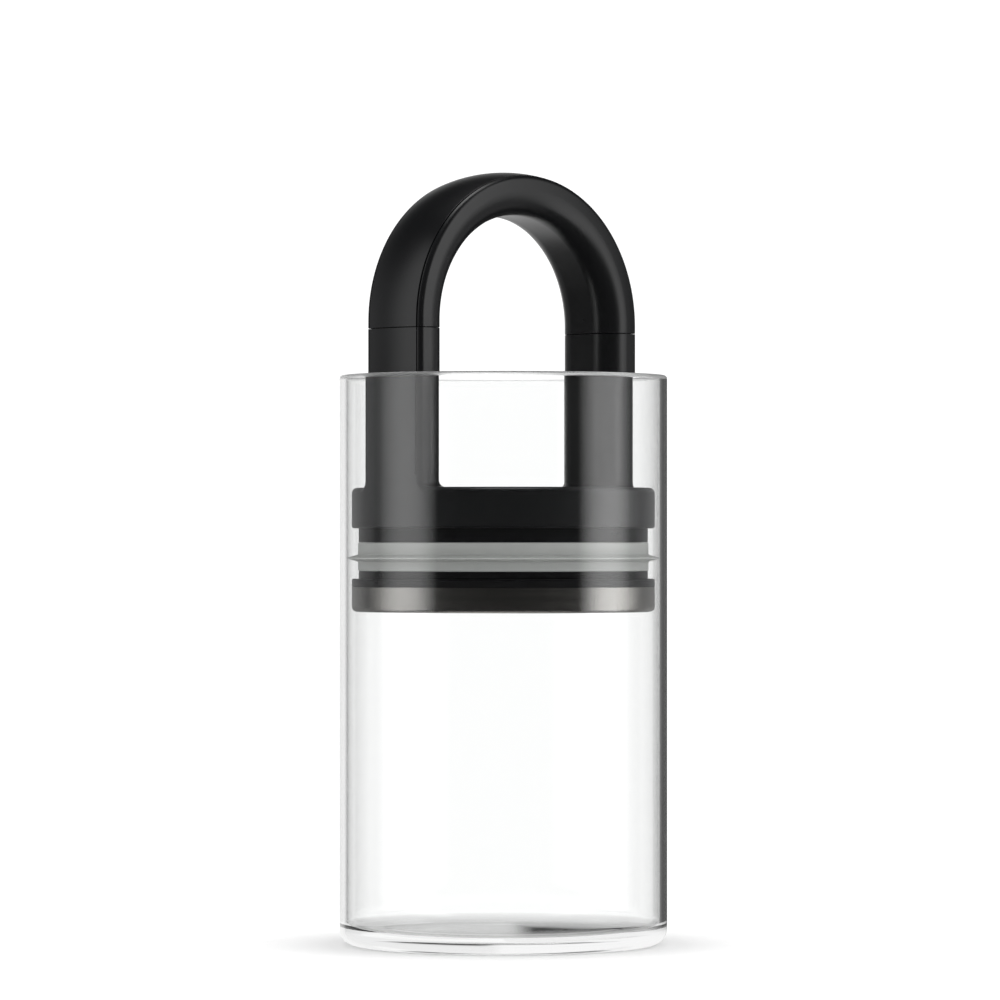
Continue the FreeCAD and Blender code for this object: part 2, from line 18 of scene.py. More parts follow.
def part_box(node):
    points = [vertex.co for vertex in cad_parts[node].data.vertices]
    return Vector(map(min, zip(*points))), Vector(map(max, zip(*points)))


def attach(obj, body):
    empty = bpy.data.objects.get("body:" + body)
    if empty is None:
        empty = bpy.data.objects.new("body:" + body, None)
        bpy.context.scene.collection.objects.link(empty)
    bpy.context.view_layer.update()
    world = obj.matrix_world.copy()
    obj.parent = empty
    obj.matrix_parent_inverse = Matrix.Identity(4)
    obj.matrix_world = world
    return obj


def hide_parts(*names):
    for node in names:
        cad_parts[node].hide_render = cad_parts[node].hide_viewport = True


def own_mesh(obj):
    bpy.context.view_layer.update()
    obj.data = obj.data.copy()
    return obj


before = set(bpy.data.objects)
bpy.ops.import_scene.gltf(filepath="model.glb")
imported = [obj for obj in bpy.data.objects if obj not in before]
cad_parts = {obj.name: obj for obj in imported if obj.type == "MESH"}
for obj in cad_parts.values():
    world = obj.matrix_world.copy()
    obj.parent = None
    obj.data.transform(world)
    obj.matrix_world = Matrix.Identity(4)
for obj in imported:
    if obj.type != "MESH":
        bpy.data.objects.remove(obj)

LOG = logging.getLogger("canister")
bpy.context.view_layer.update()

Colour = tuple[float, float, float, float]
Socket = bpy.types.NodeSocket


class Body(Enum):
    """The bodies that new pieces ride on."""

    JAR = "jar"
    LID = "lid"
    BOW = "bow"


class Slot(Enum):
    """The record's material slots; hand_over is given one for each new piece but does not use it."""

    GLASS = "jar_glass"
    BLACK = "black_plastic"
    SILICONE = "seal_silicone"
    STEEL = "pan_steel"
    SPRING = "spring_steel"


class Ray(Enum):
    """What a shader can ask about the ray that meets it."""

    CAMERA = "Is Camera Ray"
    GLOSSY = "Is Glossy Ray"
    MIRRORED = "Glossy Depth"
    SCATTERED = "Diffuse Depth"
    TRANSMISSION = "Is Transmission Ray"
    SHADOW = "Is Shadow Ray"
    DEPTH = "Ray Depth"


class Sheet(Enum):
    """The planes that outlines are drawn in, each by the axis that its second coordinate runs along."""

    UPRIGHT = Vector((0.0, 0.0, 1.0))
    PLAN = Vector((0.0, 1.0, 0.0))


@dataclass(frozen=True)
class Corner:
    """A corner of an outline: its place along X, along the sheet's other axis, and its rounding."""

    x: float
    other: float
    radius: float = 0.0


class Outline:
    """Points of round and straight stretches, worked out for edit mode."""

    arc_steps: int = 8
    hold: float = 0.00025
    hold_share: float = 0.3

    @staticmethod
    def arc(centre: Vector, start: Vector, end: Vector, steps: int) -> list[Vector]:
        """Points on the short way round a centre.

        Args:
            centre: Middle of the circle.
            start: First point, on the circle.
            end: Last point, on the circle.
            steps: Number of stretches between them.

        Returns:
            The points, both ends included.
        """
        spoke = start - centre
        turn = spoke.rotation_difference(end - centre)
        still = Quaternion()
        return [centre + still.slerp(turn, step / steps) @ spoke for step in range(steps + 1)]

    @classmethod
    def rounded(cls, corners: Sequence[Corner], sheet: Sheet, closed: bool) -> list[Vector]:
        """Outline with rounded corners and a holding point beside every rounding.

        Args:
            corners: The outline's corners in order.
            sheet: The plane that it is drawn in.
            closed: Whether the last corner joins the first.

        Returns:
            The outline's points; a closed outline ends where it starts.
        """
        places = [Vector((corner.x, 0.0, 0.0)) + sheet.value * corner.other for corner in corners]
        points: list[Vector] = []
        for index, corner in enumerate(corners):
            here = places[index]
            at_end = not closed and index in (0, len(corners) - 1)
            if at_end or corner.radius == 0.0:
                points.append(here)
                continue
            back = (places[index - 1] - here).normalized()
            ahead = (places[(index + 1) % len(places)] - here).normalized()
            half_angle = back.angle(ahead) / 2
            setback = corner.radius / math.tan(half_angle)
            centre = here + (back + ahead).normalized() * (corner.radius / math.sin(half_angle))
            bend = cls.arc(centre, here + back * setback, here + ahead * setback, cls.arc_steps)
            hold = min(cls.hold, corner.radius * cls.hold_share)
            points.append(bend[0] + back * hold)
            points.extend(bend)
            points.append(bend[-1] + ahead * hold)
        if closed:
            points.append(points[0])
        return points


class Bench:
    """Edit-mode steps that the pieces share, each on the one object being modelled."""

    merge_distance: float = 0.000004
    start_size: float = 0.001

    @classmethod
    def start(cls, name: str, place: Vector) -> bpy.types.Object:
        """Add a plane and merge it to the single point that a piece grows from.

        Args:
            name: Name of the piece.
            place: Where the point goes.

        Returns:
            The new object, in edit mode with the point selected.
        """
        bpy.ops.object.select_all(action="DESELECT")
        bpy.ops.mesh.primitive_plane_add(size=cls.start_size, location=(0.0, 0.0, 0.0))
        piece = bpy.context.object
        piece.name = name
        piece.data.name = name
        bpy.ops.object.mode_set(mode="EDIT")
        bpy.ops.mesh.select_mode(type="VERT")
        bpy.ops.mesh.select_all(action="SELECT")
        bpy.ops.mesh.merge(type="CENTER")
        bpy.ops.transform.translate(value=place)
        return piece

    @staticmethod
    def draw(points: Sequence[Vector]) -> None:
        """Extrude the selected point along the points that follow it."""
        for here, there in zip(points, points[1:]):
            bpy.ops.mesh.extrude_region_move(TRANSFORM_OT_translate={"value": there - here})

    @classmethod
    def weld(cls) -> None:
        """Merge doubled points and turn every face outwards, as the sign of the volume tells."""
        bpy.ops.mesh.select_all(action="SELECT")
        bpy.ops.mesh.remove_doubles(threshold=cls.merge_distance)
        bpy.ops.mesh.normals_make_consistent(inside=False)
        shape = bmesh.from_edit_mesh(bpy.context.edit_object.data)
        if shape.calc_volume(signed=True) < 0.0:
            bpy.ops.mesh.flip_normals()

    @staticmethod
    def finish(piece: bpy.types.Object, smooth_degrees: float) -> bpy.types.Object:
        """Leave edit mode and smooth the faces that meet at less than an angle.

        Args:
            piece: The object in edit mode.
            smooth_degrees: Largest angle that is shaded smooth.

        Returns:
            The same object.
        """
        bpy.ops.object.mode_set(mode="OBJECT")
        bpy.ops.object.select_all(action="DESELECT")
        piece.select_set(True)
        bpy.context.view_layer.objects.active = piece
        bpy.ops.object.shade_smooth_by_angle(angle=math.radians(smooth_degrees))
        return piece

    @staticmethod
    def pick(wanted: Callable[[Vector], bool]) -> None:
        """Select the faces whose points are all wanted."""
        bpy.ops.mesh.select_mode(type="FACE")
        bpy.ops.mesh.select_all(action="DESELECT")
        mesh = bpy.context.edit_object.data
        shape = bmesh.from_edit_mesh(mesh)
        for face in shape.faces:
            face.select_set(all(wanted(vertex.co) for vertex in face.verts))
        bmesh.update_edit_mesh(mesh)

    @classmethod
    def lathe(cls, name: str, profile: Sequence[Vector], steps: int,
              smooth_degrees: float) -> bpy.types.Object:
        """Turn a profile in the XZ plane about the Z axis.

        Args:
            name: Name of the piece.
            profile: The profile's points, from start to end.
            steps: Number of steps round the axis.
            smooth_degrees: Largest angle that is shaded smooth.

        Returns:
            The turned object.
        """
        piece = cls.start(name, profile[0])
        cls.draw(profile)
        bpy.ops.mesh.select_all(action="SELECT")
        bpy.ops.mesh.spin(steps=steps, angle=math.tau, center=(0.0, 0.0, 0.0), axis=(0.0, 0.0, 1.0))
        cls.weld()
        return cls.finish(piece, smooth_degrees)


class NodeTree:
    """A shader tree with short calls to add and join its nodes."""

    mix_share: int = 0
    mix_first: int = 6
    mix_second: int = 7
    mix_result: int = 2

    def __init__(self, tree: bpy.types.NodeTree) -> None:
        """Empty the tree."""
        self.tree = tree
        self.tree.nodes.clear()

    def add(self, kind: str, **inputs: object) -> bpy.types.Node:
        """Add a node and set its inputs and properties.

        Args:
            kind: The node's type.
            **inputs: Values by input or property name, with _ for a blank; a socket is joined up.

        Returns:
            The new node.
        """
        node = self.tree.nodes.new(kind)
        for name, value in inputs.items():
            socket = node.inputs.get(name.replace("_", " "))
            if socket is None:
                setattr(node, name, value)
            elif isinstance(value, Socket):
                self.tree.links.new(value, socket)
            else:
                socket.default_value = value
        return node

    def join(self, source: Socket, target: Socket) -> None:
        """Join an output to an input."""
        self.tree.links.new(source, target)

    def math(self, operation: str, *values: object) -> Socket:
        """Add a Math node.

        Args:
            operation: Name of the operation.
            *values: Numbers or sockets, in order.

        Returns:
            The result's socket.
        """
        node = self.tree.nodes.new("ShaderNodeMath")
        node.operation = operation
        for socket, value in zip(node.inputs, values):
            if isinstance(value, Socket):
                self.tree.links.new(value, socket)
            else:
                socket.default_value = value
        return node.outputs[0]

    def remap(self, value: Socket, source: tuple[float, float], target: tuple[float, float]) -> Socket:
        """Map a range of a value on another range, clamped.

        Args:
            value: The socket to map.
            source: The range it comes from.
            target: The range it goes to.

        Returns:
            The mapped value's socket.
        """
        node = self.add("ShaderNodeMapRange", From_Min=source[0], From_Max=source[1],
                        To_Min=target[0], To_Max=target[1])
        self.join(value, node.inputs["Value"])
        return node.outputs["Result"]

    def mix(self, share: Socket, first: Colour, second: Colour) -> Socket:
        """Mix two colours by a share that changes over the surface.

        Args:
            share: Share of the second colour.
            first: Colour at 0.
            second: Colour at 1.

        Returns:
            The mixed colour's socket.
        """
        node = self.tree.nodes.new("ShaderNodeMix")
        node.data_type = "RGBA"
        self.join(share, node.inputs[self.mix_share])
        node.inputs[self.mix_first].default_value = first
        node.inputs[self.mix_second].default_value = second
        return node.outputs[self.mix_result]

    def blend(self, share: Socket, first: Socket, second: Socket) -> Socket:
        """Mix two shaders.

        Args:
            share: Share of the second shader.
            first: Shader at 0.
            second: Shader at 1.

        Returns:
            The mixed shader's socket.
        """
        node = self.add("ShaderNodeMixShader", Fac=share)
        self.join(first, node.inputs[1])
        self.join(second, node.inputs[2])
        return node.outputs["Shader"]


class Effects:
    """Surface effects that several finishes share, each a node group built once."""

    made: dict[str, bpy.types.NodeTree] = {}
    smudge_range: tuple[float, float] = (0.40, 0.75)
    speck_range: tuple[float, float] = (0.05, 0.16)
    dust_rarity: float = 0.93
    coarse_scale: float = 0.17
    coarse_share: float = 0.6

    @classmethod
    def group(cls, name: str, inputs: dict[str, float], outputs: Sequence[str]) -> NodeTree:
        """Start a group with a coordinate input, value inputs and value outputs.

        Args:
            name: The group's name.
            inputs: Value inputs with their defaults.
            outputs: Names of the value outputs.

        Returns:
            The group's tree with its two ends in it.
        """
        tree = bpy.data.node_groups.new(name, "ShaderNodeTree")
        tree.interface.new_socket("Place", in_out="INPUT", socket_type="NodeSocketVector")
        for label, value in inputs.items():
            socket = tree.interface.new_socket(label, in_out="INPUT", socket_type="NodeSocketFloat")
            socket.default_value = value
        for label in outputs:
            tree.interface.new_socket(label, in_out="OUTPUT", socket_type="NodeSocketFloat")
        cls.made[name] = tree
        return NodeTree(tree)

    @classmethod
    def place(cls, nodes: NodeTree, build: Callable[[], bpy.types.NodeTree], where: Socket,
              **values: float) -> bpy.types.Node:
        """Put a group into a material with its own values.

        Args:
            nodes: The material's tree.
            build: The method that builds the group.
            where: The coordinates that it reads.
            **values: Values by input name.

        Returns:
            The group's node.
        """
        tree = cls.made.get(build.__name__) or build()
        node = nodes.tree.nodes.new("ShaderNodeGroup")
        node.node_tree = tree
        nodes.join(where, node.inputs["Place"])
        for label, value in values.items():
            node.inputs[label].default_value = value
        return node

    @classmethod
    def moulded_grain(cls) -> bpy.types.NodeTree:
        """Fine spark-eroded texture of a mould: Height of the grain and a slow Cloud over it."""
        nodes = cls.group("moulded_grain", {"Fineness": 2600.0, "Cloudiness": 45.0}, ("Height", "Cloud"))
        ends = nodes.add("NodeGroupInput")
        place, fine = ends.outputs["Place"], ends.outputs["Fineness"]
        pits = nodes.add("ShaderNodeTexVoronoi", Vector=place, Scale=fine, feature="SMOOTH_F1")
        speck = nodes.add("ShaderNodeTexNoise", Vector=place, Scale=fine, Detail=3.0, Roughness=0.6)
        cloud = nodes.add("ShaderNodeTexNoise", Vector=place, Scale=ends.outputs["Cloudiness"],
                          Detail=4.0, Roughness=0.55)
        height = nodes.math("ADD", pits.outputs["Distance"], speck.outputs["Fac"])
        nodes.add("NodeGroupOutput", Height=height, Cloud=cloud.outputs["Fac"])
        return nodes.tree

    @classmethod
    def handling_marks(cls) -> bpy.types.NodeTree:
        """Traces of use: a Smudge mask of wiped patches and a sparse Dust mask."""
        nodes = cls.group("handling_marks", {"Patch": 28.0, "Speck": 900.0}, ("Smudge", "Dust"))
        ends = nodes.add("NodeGroupInput")
        warp = nodes.add("ShaderNodeTexNoise", Vector=ends.outputs["Place"], Scale=ends.outputs["Patch"],
                         Detail=5.0, Roughness=0.62, Distortion=0.8)
        smudge = nodes.remap(warp.outputs["Fac"], cls.smudge_range, (0.0, 1.0))
        cells = nodes.add("ShaderNodeTexVoronoi", Vector=ends.outputs["Place"], Scale=ends.outputs["Speck"])
        near = nodes.remap(cells.outputs["Distance"], cls.speck_range, (1.0, 0.0))
        lucky = nodes.add("ShaderNodeSeparateColor", Color=cells.outputs["Color"])
        rare = nodes.math("GREATER_THAN", lucky.outputs["Red"], cls.dust_rarity)
        dust = nodes.math("MULTIPLY", near, rare)
        nodes.add("NodeGroupOutput", Smudge=smudge, Dust=dust)
        return nodes.tree

    @classmethod
    def turned_lines(cls) -> bpy.types.NodeTree:
        """Lines that a lathe or a brush leaves round the Z axis: Height of the lines and their Tone."""
        nodes = cls.group("turned_lines", {"Across": 5200.0, "Along": 60.0}, ("Height", "Tone"))
        ends = nodes.add("NodeGroupInput")
        split = nodes.add("ShaderNodeSeparateXYZ", Vector=ends.outputs["Place"])
        flat = nodes.add("ShaderNodeCombineXYZ", X=split.outputs["X"], Y=split.outputs["Y"])
        radius = nodes.add("ShaderNodeVectorMath", operation="LENGTH")
        nodes.join(flat.outputs["Vector"], radius.inputs[0])
        run = nodes.math("ADD", radius.outputs["Value"], split.outputs["Z"])
        across = nodes.math("MULTIPLY", run, ends.outputs["Across"])
        around = [nodes.math("MULTIPLY", split.outputs[axis], ends.outputs["Along"]) for axis in ("X", "Y")]
        stretched = nodes.add("ShaderNodeCombineXYZ", X=around[0], Y=around[1], Z=across)
        where = stretched.outputs["Vector"]
        fine = nodes.add("ShaderNodeTexNoise", Vector=where, Scale=1.0, Detail=2.0)
        coarse = nodes.add("ShaderNodeTexNoise", Vector=where, Scale=cls.coarse_scale, Detail=2.0)
        fine_tone = nodes.math("MULTIPLY", fine.outputs["Fac"], 1 - cls.coarse_share)
        tone = nodes.math("MULTIPLY_ADD", coarse.outputs["Fac"], cls.coarse_share, fine_tone)
        nodes.add("NodeGroupOutput", Height=fine.outputs["Fac"], Tone=tone)
        return nodes.tree


@dataclass(frozen=True)
class Finish:
    """A finish: its name and the colour of a clean, even patch."""

    name: str
    colour: Colour

    def material(self) -> bpy.types.Material:
        """The finish as a material, made on first use."""
        return bpy.data.materials.get(self.name) or self.mix()

    def mix(self) -> bpy.types.Material:
        """Make the material; each kind of finish lays its own coats."""
        material = bpy.data.materials.new(self.name)
        material.use_nodes = True
        nodes = NodeTree(material.node_tree)
        place = nodes.add("ShaderNodeTexCoord").outputs["Object"]
        shader = nodes.add("ShaderNodeBsdfPrincipled", Base_Color=self.colour)
        out = nodes.add("ShaderNodeOutputMaterial")
        nodes.join(shader.outputs["BSDF"], out.inputs["Surface"])
        self.coat(nodes, place, shader, out)
        return material

    def coat(self, nodes: NodeTree, place: Socket, shader: bpy.types.Node, out: bpy.types.Node) -> None:
        """Lay what this kind of finish has on its shader.

        Args:
            nodes: The material's tree.
            place: The piece's own coordinates.
            shader: The Principled shader.
            out: The material's output.
        """
        raise NotImplementedError


@dataclass(frozen=True)
class ClearGlass(Finish):
    """Drawn borosilicate: clear, faintly wavy, with a green-grey cast along its edges."""

    edge_colour: Colour = (0.30, 0.34, 0.31, 1.0)
    edge_range: tuple[float, float] = (0.90, 1.0)
    refraction: float = 1.473
    patch: float = 22.0
    smudge_roughness: float = 0.004
    wave_scale: tuple[float, float, float] = (60.0, 60.0, 9.0)
    wave_strength: float = 0.5
    wave_depth: float = 0.00002
    shadow_colour: Colour = (0.93, 0.93, 0.93, 1.0)
    deepest: float = 3.5
    ground_rim: tuple[float, float] = (0.1790, 0.1796)
    ground_roughness: float = 0.5

    def coat(self, nodes: NodeTree, place: Socket, shader: bpy.types.Node, out: bpy.types.Node) -> None:
        """Tint the grazing edges, wave the surface, and let lamps and much reflected rays through."""
        shader.inputs["Transmission Weight"].default_value = 1.0
        shader.inputs["IOR"].default_value = self.refraction
        facing = nodes.add("ShaderNodeLayerWeight", Blend=0.5)
        edge = nodes.remap(facing.outputs["Facing"], self.edge_range, (0.0, 1.0))
        nodes.join(nodes.mix(edge, self.colour, self.edge_colour), shader.inputs["Base Color"])
        marks = Effects.place(nodes, Effects.handling_marks, place, Patch=self.patch)
        smudge = nodes.remap(marks.outputs["Smudge"], (0.0, 1.0), (0.0, self.smudge_roughness))
        height = nodes.add("ShaderNodeSeparateXYZ", Vector=place).outputs["Z"]
        ground = nodes.remap(height, self.ground_rim, (0.0, self.ground_roughness))
        nodes.join(nodes.math("MAXIMUM", smudge, ground), shader.inputs["Roughness"])
        stretch = nodes.add("ShaderNodeMapping", Vector=place, Scale=self.wave_scale)
        wave = nodes.add("ShaderNodeTexNoise", Vector=stretch.outputs["Vector"], Scale=1.0, Detail=1.0)
        bump = nodes.add("ShaderNodeBump", Height=wave.outputs["Fac"], Strength=self.wave_strength,
                         Distance=self.wave_depth)
        nodes.join(bump.outputs["Normal"], shader.inputs["Normal"])
        clear = nodes.add("ShaderNodeBsdfTransparent", Color=self.shadow_colour)
        path = nodes.add("ShaderNodeLightPath")
        deep = nodes.math("GREATER_THAN", path.outputs[Ray.DEPTH.value], self.deepest)
        through = nodes.math("MAXIMUM", path.outputs[Ray.SHADOW.value], deep)
        surface = nodes.blend(through, shader.outputs["BSDF"], clear.outputs["BSDF"])
        nodes.join(surface, out.inputs["Surface"])


@dataclass(frozen=True)
class MouldedPlastic(Finish):
    """Injection-moulded plastic with a satin, finely grained skin."""

    worn_colour: Colour = (0.0075, 0.0078, 0.0085, 1.0)
    gloss_low: float = 0.27
    gloss_high: float = 0.36
    sheen_level: float = 0.40
    fineness: float = 3600.0
    grain_depth: float = 0.00001
    grain_strength: float = 0.05
    smudge_tone: float = 0.25
    dust_tone: float = 0.5
    cloud_tone: float = 0.5
    smudge_gloss: float = -0.15
    cloud_range: tuple[float, float] = (0.2, 0.8)

    def coat(self, nodes: NodeTree, place: Socket, shader: bpy.types.Node, out: bpy.types.Node) -> None:
        """Grain the skin, cloud its tone and leave faint marks of handling."""
        shader.inputs["Specular IOR Level"].default_value = self.sheen_level
        grain = Effects.place(nodes, Effects.moulded_grain, place, Fineness=self.fineness)
        marks = Effects.place(nodes, Effects.handling_marks, place)
        dust = nodes.math("MULTIPLY", marks.outputs["Dust"], self.dust_tone)
        traces = nodes.math("MULTIPLY_ADD", marks.outputs["Smudge"], self.smudge_tone, dust)
        cloud = grain.outputs["Cloud"]
        tone = nodes.math("MULTIPLY_ADD", cloud, self.cloud_tone, traces)
        nodes.join(nodes.mix(tone, self.colour, self.worn_colour), shader.inputs["Base Color"])
        uneven = nodes.math("MULTIPLY_ADD", marks.outputs["Smudge"], self.smudge_gloss, cloud)
        rough = nodes.remap(uneven, self.cloud_range, (self.gloss_low, self.gloss_high))
        nodes.join(rough, shader.inputs["Roughness"])
        bump = nodes.add("ShaderNodeBump", Height=grain.outputs["Height"], Strength=self.grain_strength,
                         Distance=self.grain_depth)
        nodes.join(bump.outputs["Normal"], shader.inputs["Normal"])


@dataclass(frozen=True)
class SoftSilicone(Finish):
    """Milky silicone that light seeps into, with a little dust on it."""

    dust_colour: Colour = (0.62, 0.62, 0.60, 1.0)
    seep: float = 0.0012
    seep_weight: float = 0.35
    refraction: float = 1.41
    roughness_low: float = 0.34
    roughness_high: float = 0.5
    fineness: float = 1500.0
    cloudiness: float = 70.0
    speck: float = 1200.0
    cloud_tone: float = 0.3
    cloud_range: tuple[float, float] = (0.3, 0.7)
    grain_strength: float = 0.15
    grain_depth: float = 0.00002

    def coat(self, nodes: NodeTree, place: Socket, shader: bpy.types.Node, out: bpy.types.Node) -> None:
        """Let light in, cloud the milkiness and dust it."""
        shader.inputs["Subsurface Weight"].default_value = self.seep_weight
        shader.inputs["Subsurface Radius"].default_value = (1.0, 1.0, 1.0)
        shader.inputs["Subsurface Scale"].default_value = self.seep
        shader.inputs["IOR"].default_value = self.refraction
        grain = Effects.place(nodes, Effects.moulded_grain, place, Fineness=self.fineness,
                              Cloudiness=self.cloudiness)
        marks = Effects.place(nodes, Effects.handling_marks, place, Speck=self.speck)
        cloud = grain.outputs["Cloud"]
        tone = nodes.math("MULTIPLY_ADD", cloud, self.cloud_tone, marks.outputs["Dust"])
        nodes.join(nodes.mix(tone, self.colour, self.dust_colour), shader.inputs["Base Color"])
        rough = nodes.remap(cloud, self.cloud_range, (self.roughness_low, self.roughness_high))
        nodes.join(rough, shader.inputs["Roughness"])
        bump = nodes.add("ShaderNodeBump", Height=grain.outputs["Height"], Strength=self.grain_strength,
                         Distance=self.grain_depth)
        nodes.join(bump.outputs["Normal"], shader.inputs["Normal"])


@dataclass(frozen=True)
class BrushedMetal(Finish):
    """Stainless steel with fine lines round the axis."""

    line_colour: Colour = (0.40, 0.39, 0.37, 1.0)
    roughness_low: float = 0.17
    roughness_high: float = 0.27
    stretch: float = 0.8
    line_depth: float = 0.000012
    line_strength: float = 0.12
    across: float = 5200.0
    smudge_rough: float = 0.25
    tone_range: tuple[float, float] = (0.3, 0.9)

    def coat(self, nodes: NodeTree, place: Socket, shader: bpy.types.Node, out: bpy.types.Node) -> None:
        """Brush the metal round its axis and wipe it unevenly."""
        shader.inputs["Metallic"].default_value = 1.0
        shader.inputs["Anisotropic"].default_value = self.stretch
        around = nodes.add("ShaderNodeTangent", direction_type="RADIAL", axis="Z")
        nodes.join(around.outputs["Tangent"], shader.inputs["Tangent"])
        lines = Effects.place(nodes, Effects.turned_lines, place, Across=self.across)
        marks = Effects.place(nodes, Effects.handling_marks, place)
        tone = lines.outputs["Tone"]
        nodes.join(nodes.mix(tone, self.line_colour, self.colour), shader.inputs["Base Color"])
        uneven = nodes.math("MULTIPLY_ADD", marks.outputs["Smudge"], self.smudge_rough, tone)
        rough = nodes.remap(uneven, self.tone_range, (self.roughness_low, self.roughness_high))
        nodes.join(rough, shader.inputs["Roughness"])
        bump = nodes.add("ShaderNodeBump", Height=lines.outputs["Height"], Strength=self.line_strength,
                         Distance=self.line_depth)
        nodes.join(bump.outputs["Normal"], shader.inputs["Normal"])


JAR_GLASS = ClearGlass("clear_glass", (0.996, 1.0, 0.998, 1.0))
HANDLE_BLACK = MouldedPlastic("satin_black", (0.0042, 0.0044, 0.0050, 1.0))
CORE_BLACK = MouldedPlastic("smooth_black", (0.0036, 0.0036, 0.0040, 1.0), gloss_low=0.26, gloss_high=0.36,
                            sheen_level=0.12, grain_strength=0.05)
SEAL_MILK = SoftSilicone("milky_silicone", (0.30, 0.31, 0.30, 1.0), dust_colour=(0.42, 0.42, 0.41, 1.0))
GASKET_GREY = SoftSilicone("grey_rubber", (0.09, 0.09, 0.095, 1.0), dust_colour=(0.2, 0.2, 0.2, 1.0))
PAN_STEEL = BrushedMetal("brushed_steel", (0.28, 0.272, 0.258, 1.0),
                         line_colour=(0.30, 0.292, 0.278, 1.0))
SCREW_STEEL = BrushedMetal("turned_steel", (0.60, 0.60, 0.61, 1.0), across=7800.0)
WIRE_STEEL = BrushedMetal("drawn_wire", (0.56, 0.56, 0.57, 1.0), roughness_low=0.26, roughness_high=0.42)
YOKE_WHITE = MouldedPlastic("mechanism_white", (0.68, 0.67, 0.63, 1.0), worn_colour=(0.74, 0.73, 0.70, 1.0),
                            gloss_low=0.34, gloss_high=0.46)


def dress(piece: bpy.types.Object, finish: Finish) -> None:
    """Give a piece one finish in place of what it had."""
    piece.data.materials.clear()
    piece.data.materials.append(finish.material())


def hand_over(piece: bpy.types.Object, body: Body, slot: Slot, *nodes: str) -> None:
    """Set a new piece on its body in place of the solids that it stands for.

    Args:
        piece: The finished piece.
        body: The body that it moves with.
        slot: Not used.
        *nodes: The solids that it replaces.
    """
    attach(piece, body.value)
    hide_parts(*nodes)
    LOG.info("%s rides on %s, %d faces", piece.name, body.value, len(piece.data.polygons))


@dataclass
class GlassJar:
    """The straight-walled jar with its polished rim, rounded foot and shallow recess below."""

    node: str = "glass_jar"
    wall: float = 0.0022
    floor: float = 0.0040
    corner: float = 0.0050
    inner_corner: float = 0.0035
    rim: float = 0.001056
    ring_width: float = 0.0090
    recess: float = 0.0008
    recess_run: float = 0.0025
    steps: int = 240

    def build(self) -> None:
        """Turn the jar and hand it over."""
        low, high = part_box(self.node)
        radius, height = high.x, high.z
        bore = radius - self.wall
        ring = radius - self.corner - self.ring_width
        profile = Outline.rounded([
            Corner(0.0, self.recess),
            Corner(ring - self.recess_run, self.recess, self.recess_run),
            Corner(ring, low.z, self.recess),
            Corner(radius, low.z, self.corner),
            Corner(radius, height, self.rim),
            Corner(bore, height, self.rim),
            Corner(bore, self.floor, self.inner_corner),
            Corner(0.0, self.floor),
        ], Sheet.UPRIGHT, closed=False)
        jar = Bench.lathe("jar_body", profile, self.steps, smooth_degrees=60.0)
        dress(jar, JAR_GLASS)
        hand_over(jar, Body.JAR, Slot.GLASS, self.node)


@dataclass
class Seal:
    """The silicone band in the core's groove, with its thin wiping fin."""

    node: str = "wiper_seal"
    neck: float = 0.0461
    depth: float = 0.0024
    edge: float = 0.0005
    fin_up: float = 0.0041
    fin_root: float = 0.0022
    fin_tip: float = 0.00036
    steps: int = 180

    def build(self) -> None:
        """Turn the band and hand it over."""
        low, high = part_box(self.node)
        inner = self.neck - self.depth
        fin_z = low.z + self.fin_up
        profile = Outline.rounded([
            Corner(inner, low.z),
            Corner(self.neck, low.z, self.edge),
            Corner(self.neck, fin_z - self.fin_root / 2, self.edge),
            Corner(high.x, fin_z - self.fin_tip / 2, self.fin_tip / 3),
            Corner(high.x, fin_z + self.fin_tip / 2, self.fin_tip / 3),
            Corner(self.neck, fin_z + self.fin_root / 2, self.edge),
            Corner(self.neck, high.z, self.edge),
            Corner(inner, high.z),
        ], Sheet.UPRIGHT, closed=True)
        band = Bench.lathe("seal_band", profile, self.steps, smooth_degrees=40.0)
        dress(band, SEAL_MILK)
        hand_over(band, Body.LID, Slot.SILICONE, self.node)


@dataclass
class Pan:
    """The pressed steel pan over the lower end of the piston."""

    node: str = "steel_pan"
    sheet: float = 0.0008
    hole: float = 0.00885
    emboss: float = 0.0136
    emboss_run: float = 0.0020
    emboss_rise: float = 0.0020
    edge: float = 0.0016
    lip: float = 0.0003
    steps: int = 180

    def build(self) -> None:
        """Turn the pan and hand it over."""
        low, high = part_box(self.node)
        foot = self.emboss + self.emboss_run
        inside = high.x - self.sheet
        plate = low.z + self.sheet
        raised = low.z + self.emboss_rise
        profile = Outline.rounded([
            Corner(self.hole, raised, self.lip / 2),
            Corner(self.emboss, raised, self.sheet),
            Corner(foot, low.z, self.sheet),
            Corner(high.x, low.z, self.edge),
            Corner(high.x, high.z, self.lip),
            Corner(inside, high.z, self.lip),
            Corner(inside, plate, self.edge - self.sheet),
            Corner(foot, plate, self.sheet),
            Corner(self.emboss, raised + self.sheet, self.sheet),
            Corner(self.hole, raised + self.sheet, self.lip / 2),
        ], Sheet.UPRIGHT, closed=True)
        pan = Bench.lathe("pan_shell", profile, self.steps, smooth_degrees=40.0)
        dress(pan, PAN_STEEL)
        hand_over(pan, Body.LID, Slot.STEEL, self.node)


